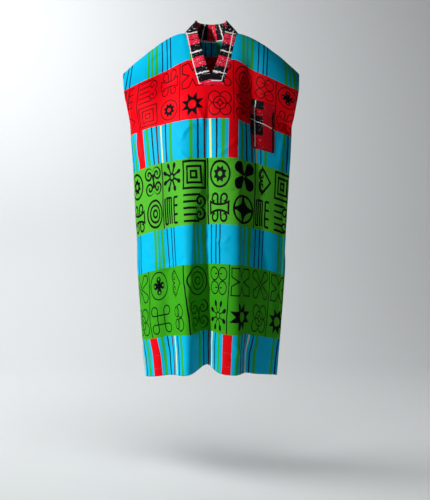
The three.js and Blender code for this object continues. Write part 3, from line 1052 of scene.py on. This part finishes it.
def backBandEnds():
    share = np.linspace(-1, 1, neckBand["along"] + 1)
    across = np.sin(share * math.pi / 2) * cloth["neckHalf"]
    low = back.onCloth(across, backNeckline(across), neckBand["clear"])
    shares = 1 - np.arcsin(np.abs(across) / cloth["neckHalf"]) * 2 / math.pi
    high = np.array([curveThrough(bandTop, share) for share in shares])
    high[:, 0] *= np.where(across < 0, -1, 1)
    return low, high


def bandPiece(name, low, high, turned, shift=0.0, behind=False):
    steps = neckBand["wide"]
    f = np.linspace(0, 1, steps + 1)
    points = low[:, None, :] * (1 - f)[None, :, None] + high[:, None, :] * f[None, :, None]
    down = np.gradient(points, axis=0)
    aside = np.gradient(points, axis=1)
    normal = np.cross(down, aside)
    normal /= np.linalg.norm(normal, axis=-1, keepdims=True)
    normal *= -1 if turned else 1
    rise = neckBand["puff"] * (1 - (2 * f - 1) ** 4)
    points = points + normal * rise[None, :, None]
    wide = np.linalg.norm(high - low, axis=1)
    if behind:
        gone = np.concatenate([[0], np.cumsum(np.linalg.norm(np.diff(low, axis=0), axis=1))])
        along = np.repeat(gone[:, None], steps + 1, 1)
    else:
        lean, fall = slant / slope, cloth["neckDrop"] / slope
        along = (cloth["neckHalf"] - np.abs(points[..., 0])) * lean - points[..., 2] * fall
    uv = np.stack([f[None, :] * wide[:, None] - shift, along], -1)
    faces = gridFaces(*points.shape[:2], turned)
    piece = meshOf(name, points.reshape(-1, 3), uv.reshape(-1, 2), faces, bandCloth)
    return thicken(piece, neckBand["wall"])


leftLow, leftHigh = frontBandEnds(-1)
rightLow, rightHigh = frontBandEnds(1)
backLow, backHigh = backBandEnds()
leftBand = bandPiece("neck_band_left_cloth", leftLow, leftHigh, False)
rightBand = bandPiece("neck_band_right_cloth", rightLow, rightHigh, True, 12)
backBand = bandPiece("neck_band_back_cloth", backLow, backHigh, True, behind=True)
print("kaftan: neck band")

pocket = dict(left=151, right=237, top=210, bottom=397, columns=34, rows=66, gap=1.6, wall=0.8)


def pocketPiece():
    p = pocket
    u, v = np.linspace(0, 1, p["columns"] + 1), np.linspace(0, 1, p["rows"] + 1)
    across = p["left"] + (p["right"] - p["left"]) * u[None, :] + 0 * v[:, None]
    cut = p["top"] + (p["bottom"] - p["top"]) * v[:, None] + 0 * u[None, :]
    points = front.onCloth(across, cut, p["gap"])
    uv = np.stack([across - p["left"], cut - p["top"]], -1)
    faces = gridFaces(*across.shape)
    piece = meshOf("pocket_cloth", points.reshape(-1, 3), uv.reshape(-1, 2), faces, pocketPrint)
    return thicken(piece, p["wall"])


pocketCloth = pocketPiece()
print("kaftan: pocket")

stitch = dict(
    pitch=3.4, long=2.5, thick=0.5, proud=0.22,
    aboveHem=(24, 67),  # two rows
    sleeveEdge=10,
    pocketEdge=2.5,
    pocketTop=18,
)


def threadMaterial(name, colour):
    material = bpy.data.materials.new(name)
    material.use_nodes = True
    tree = material.node_tree
    shader = tree.nodes["Principled BSDF"]
    shader.inputs["Roughness"].default_value = 0.6
    shader.inputs["Sheen Weight"].default_value = 0.1
    place = tree.nodes.new("ShaderNodeTexCoord")
    ply = noiseAt(tree, place.outputs["Object"], 900, 2) * 0.5 + 0.7
    tree.links.new(mixColour(tree, 1.0, colour, ply, "MULTIPLY"), shader.inputs["Base Color"])
    return material


def evenly(line, pitch):
    # places a pitch apart along a line of points, and the direction there
    steps = np.linalg.norm(np.diff(line, axis=0), axis=1)
    gone = np.concatenate([[0], np.cumsum(steps)])
    count = max(int(gone[-1] / pitch), 1)
    at = (np.arange(count) + 0.5) * gone[-1] / count

    def sample(where):
        return np.stack([np.interp(where, gone, line[:, k]) for k in range(3)], -1)

    ahead = sample(np.minimum(at + 1, gone[-1])) - sample(np.maximum(at - 1, 0))
    return sample(at), ahead / np.linalg.norm(ahead, axis=1, keepdims=True)


def stitchRow(points, normals):
    # every stitch is a small spindle that dips into the cloth at both ends
    places, ahead = evenly(points, stitch["pitch"])
    nearest = np.array([np.argmin(np.linalg.norm(points - place, axis=1)) for place in places])
    up = normals[nearest]
    side = np.cross(ahead, up)
    half, thick, proud = stitch["long"] / 2, stitch["thick"] / 2, stitch["proud"]
    rings = [
        (-half, 0.25, -thick), (-half * 0.5, 1, proud * 0.8),
        (half * 0.5, 1, proud * 0.8), (half, 0.25, -thick),
    ]
    corners, faces = [], []
    for place, a, u, w in zip(places, ahead, up, side):
        first = len(corners)
        for along, size, rise in rings:
            for turn in range(4):
                angle = math.pi / 2 * turn + math.pi / 4
                spread = w * math.cos(angle) + u * math.sin(angle)
                corners.append(place + a * along + u * rise + spread * thick * size)
        for ring in range(3):
            for turn in range(4):
                a0, a1 = first + 4 * ring + turn, first + 4 * ring + (turn + 1) % 4
                faces.append((a0, a1, a1 + 4, a0 + 4))
        faces.append((first + 3, first + 2, first + 1, first))
        faces.append((first + 12, first + 13, first + 14, first + 15))
    return corners, faces


def clothLine(panel, across, cut):
    return panel.onCloth(across, cut), panel.normal(across, cut)


def hemLines(panel):
    for up in stitch["aboveHem"]:
        cut = cloth["length"] - up
        across = np.linspace(-panel.reach(cut, -1) + 2, panel.reach(cut, 1) - 2, 240)
        yield clothLine(panel, across, np.full(240, cut))


def sleeveLines(panel):
    cut = np.linspace(6, 316, 90)
    for side in (-1, 1):
        across = [side * (panel.reach(level, side) - stitch["sleeveEdge"]) for level in cut]
        yield clothLine(panel, np.array(across), cut)


def pocketLines():
    p, edge = pocket, stitch["pocketEdge"]
    left, right, top, bottom = p["left"] + edge, p["right"] - edge, p["top"], p["bottom"] - edge
    fold = top + stitch["pocketTop"]
    lines = [
        ((left, top), (left, bottom)), ((left, bottom), (right, bottom)),
        ((right, bottom), (right, top)), ((left, fold), (right, fold)),
    ]
    for (x0, t0), (x1, t1) in lines:
        f = np.linspace(0, 1, 60)
        across, cut = x0 + (x1 - x0) * f, t0 + (t1 - t0) * f
        yield front.onCloth(across, cut, p["gap"]), front.normal(across, cut)


def bandLines(low, high, turned):
    for share in neckBand["stitchedAt"]:
        line = low * (1 - share) + high * share
        normal = np.cross(np.gradient(line, axis=0), high - low) * (-1 if turned else 1)
        normal /= np.linalg.norm(normal, axis=1, keepdims=True)
        yield line + normal * neckBand["puff"] * (1 - (2 * share - 1) ** 4), normal


def sewn(name, lines, material):
    points, faces = [], []
    for line, normals in lines:
        corners, quads = stitchRow(line, normals)
        faces += [tuple(k + len(points) for k in quad) for quad in quads]
        points += corners
    piece = meshOf(name, points, np.zeros((len(points), 2)), faces, material)
    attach(piece, "root")
    return piece


tealThread = threadMaterial("teal_thread", (0.01, 0.25, 0.32))
darkThread = threadMaterial("dark_thread", (0.03, 0.012, 0.016))
frontLines = [*hemLines(front), *sleeveLines(front)]
backLines = [*hemLines(back), *sleeveLines(back)]
frontSewing = sewn("front_stitches", frontLines, tealThread)
backSewing = sewn("back_stitches", backLines, tealThread)
pocketSewing = sewn("pocket_stitches", pocketLines(), darkThread)
neckLines = [
    *bandLines(leftLow, leftHigh, False),
    *bandLines(rightLow, rightHigh, True),
    *bandLines(backLow, backHigh, True),
]
bandSewing = sewn("neck_band_stitches", neckLines, darkThread)
print("kaftan: sewing")

pieces = [
    (frontPiece, "front", "printed_cotton", (0.71, 1.19), 0.78),
    (backPiece, "back", "printed_cotton", (0.71, 1.19), 0.79),
    (leftBand, "neck_band_left", "band_cotton", (0.07, 0.25), 0.011),
    (rightBand, "neck_band_right", "band_cotton", (0.07, 0.25), 0.011),
    (backBand, "neck_band_back", "band_cotton", (0.09, 0.23), 0.014),
    (pocketCloth, "pocket", "pocket_cotton", (0.086, 0.187), None),
]
for piece, node, slot, flat, area in pieces:
    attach(piece, "root")
    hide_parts(node)

room = dict(floor=-1.452, wallAt=2.8, bend=0.9, bendSteps=12, half=4.0, near=-3.2, high=3.0)


def backdrop():
    # a floor that bends up into a wall behind
    r = room
    bend = r["bend"]
    profile = [(r["near"], r["floor"])]
    for k in range(r["bendSteps"] + 1):
        turn = math.pi / 2 * k / r["bendSteps"]
        behind = r["wallAt"] - bend + bend * math.sin(turn)
        profile.append((behind, r["floor"] + bend * (1 - math.cos(turn))))
    profile.append((r["wallAt"], r["high"]))
    points = [(x, y, z) for y, z in profile for x in (-r["half"], r["half"])]
    faces = [(2 * k, 2 * k + 1, 2 * k + 3, 2 * k + 2) for k in range(len(profile) - 1)]
    mesh = bpy.data.meshes.new("backdrop")
    mesh.from_pydata(points, [], faces)
    mesh.polygons.foreach_set("use_smooth", [True] * len(mesh.polygons))
    mesh.materials.append(plain("backdrop", (0.86, 0.87, 0.87)))
    sweep = bpy.data.objects.new("backdrop", mesh)
    bpy.context.scene.collection.objects.link(sweep)
    return sweep


def lampOn(light, place, aim, lit):
    # a lamp aimed at a point, that lights only the objects named
    lamp = bpy.data.objects.new(light.name, light)
    lamp.location = place
    lamp.rotation_euler = (Vector(aim) - Vector(place)).to_track_quat("-Z", "Y").to_euler()
    bpy.context.scene.collection.objects.link(lamp)
    group = bpy.data.collections.new(light.name + "_lights")
    for item in lit:
        group.objects.link(item)
    lamp.light_linking.receiver_collection = group


def areaLight(name, place, aim, size, power, colour, lit):
    light = bpy.data.lights.new(name, "AREA")
    light.shape = "RECTANGLE"
    light.size, light.size_y = size
    light.energy = power
    light.color = colour
    lampOn(light, place, aim, lit)


def spotLight(name, place, aim, angle, blend, radius, power, colour, lit):
    light = bpy.data.lights.new(name, "SPOT")
    light.spot_size = math.radians(angle)
    light.spot_blend = blend
    light.shadow_soft_size = radius
    light.energy = power
    light.color = colour
    lampOn(light, place, aim, lit)


sweep = [backdrop()]
kaftan = [item for item, *facts in pieces] + [frontSewing, backSewing, pocketSewing, bandSewing]
keyAim = (-2.213, 2.529, -0.867)
spotLight("key", (-2.3, -2.25, 0.6), keyAim, 92, 0.06, 0.14, 545, (1, 0.99, 0.97), kaftan)
areaLight("wall_wash", (-2.4, 0.6, 1.2), (-0.6, 2.8, -0.4), (2.0, 2.0), 52, (0.96, 0.98, 1), sweep)
areaLight("room_soft", (-1.7, 0.1, 2.1), (0.3, 2.2, -0.8), (2.0, 2.0), 50, (0.97, 0.99, 1), sweep)
areaLight("floor_soft", (0.3, -0.9, 0.8), (0.3, 0.2, -1.45), (2.4, 1.0), 22, (0.97, 0.99, 1), sweep)
world = bpy.data.worlds.new("studio")
world.use_nodes = True
world.node_tree.nodes["Background"].inputs["Color"].default_value = (0.95, 0.97, 1, 1)
world.node_tree.nodes["Background"].inputs["Strength"].default_value = 0.04
bpy.context.scene.world = world
bpy.context.scene.view_settings.view_transform = "Standard"
print("kaftan: floor, wall and light")
